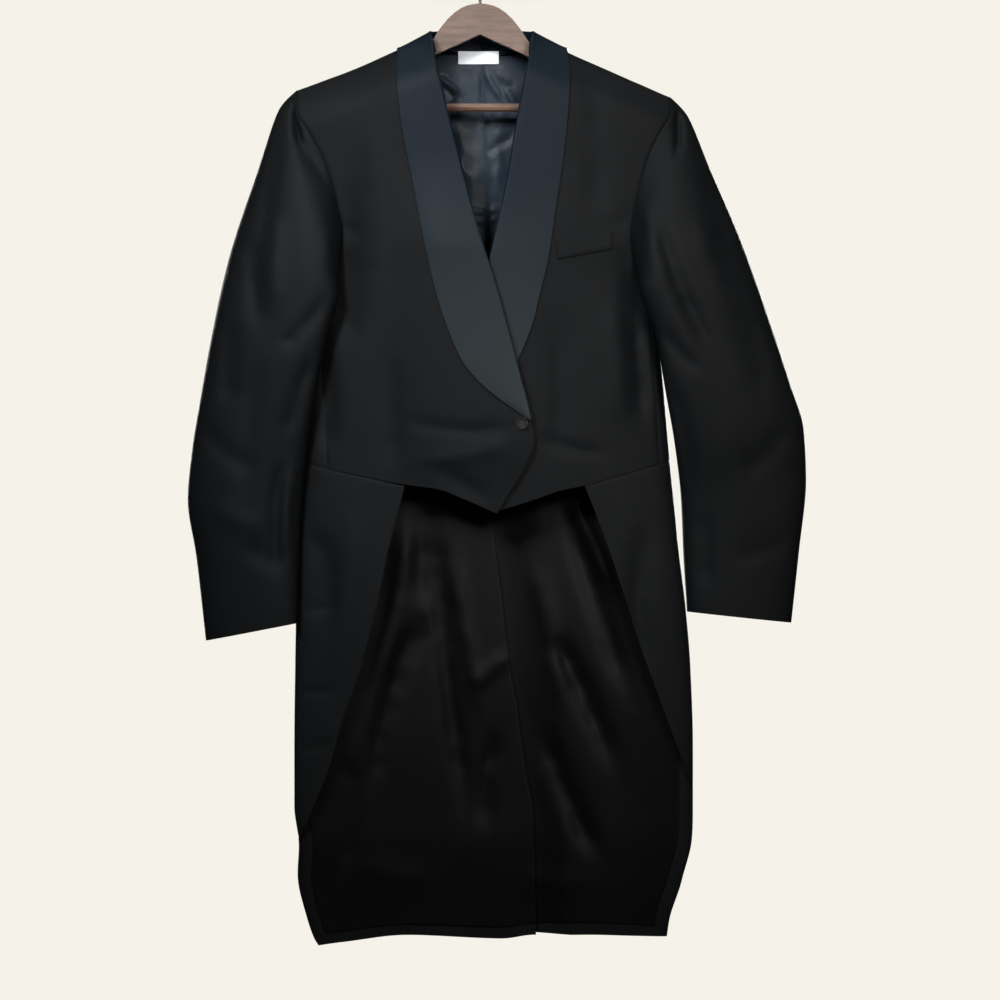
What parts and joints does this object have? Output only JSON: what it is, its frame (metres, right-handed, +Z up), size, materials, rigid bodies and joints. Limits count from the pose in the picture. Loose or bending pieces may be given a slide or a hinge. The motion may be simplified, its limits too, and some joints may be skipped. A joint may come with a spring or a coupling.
{
  "type": "tailcoat on a hanger",
  "caption": "Black white tie tailcoat with a satin shawl collar, a waist cut away in front, long tails and a breast pocket, hung on a wooden hanger with a wire hook.",
  "frame": {"origin": "top of the inside of the hanger's hook, where a rail carries it", "axes": "+Z up along the hanging coat, -Y out of the coat's front, +X towards the wearer's left sleeve"},
  "size_m": [0.7264, 0.1134, 1.1682],
  "materials": {
    "wool": "matte black worsted wool",
    "satin": "black silk satin with a soft sheen",
    "lining": "dark grey-blue satin lining",
    "tail_lining": "black lining",
    "label": "plain white woven ribbon",
    "button": "black moulded",
    "wood": "brown varnished",
    "steel": "bent wire"
  },
  "bodies": {
    "root": {"forepart_right": "wool", "forepart_left": "wool", "sidebody_right": "wool", "sidebody_left": "wool", "back_right": "wool", "back_left": "wool", "skirt_right": "wool", "skirt_left": "wool", "topsleeve_right": "wool", "topsleeve_left": "wool", "undersleeve_right": "wool", "undersleeve_left": "wool", "collar_right": "satin", "collar_left": "satin", "back_lining_right": "lining", "back_lining_left": "lining", "tail_lining_right": "tail_lining", "tail_lining_left": "tail_lining", "label": "label", "breast_welt": "wool", "button": "button", "hanger_body": "wood", "hanger_bar": "wood", "hanger_hook": "steel"}
  },
  "joints": []
}
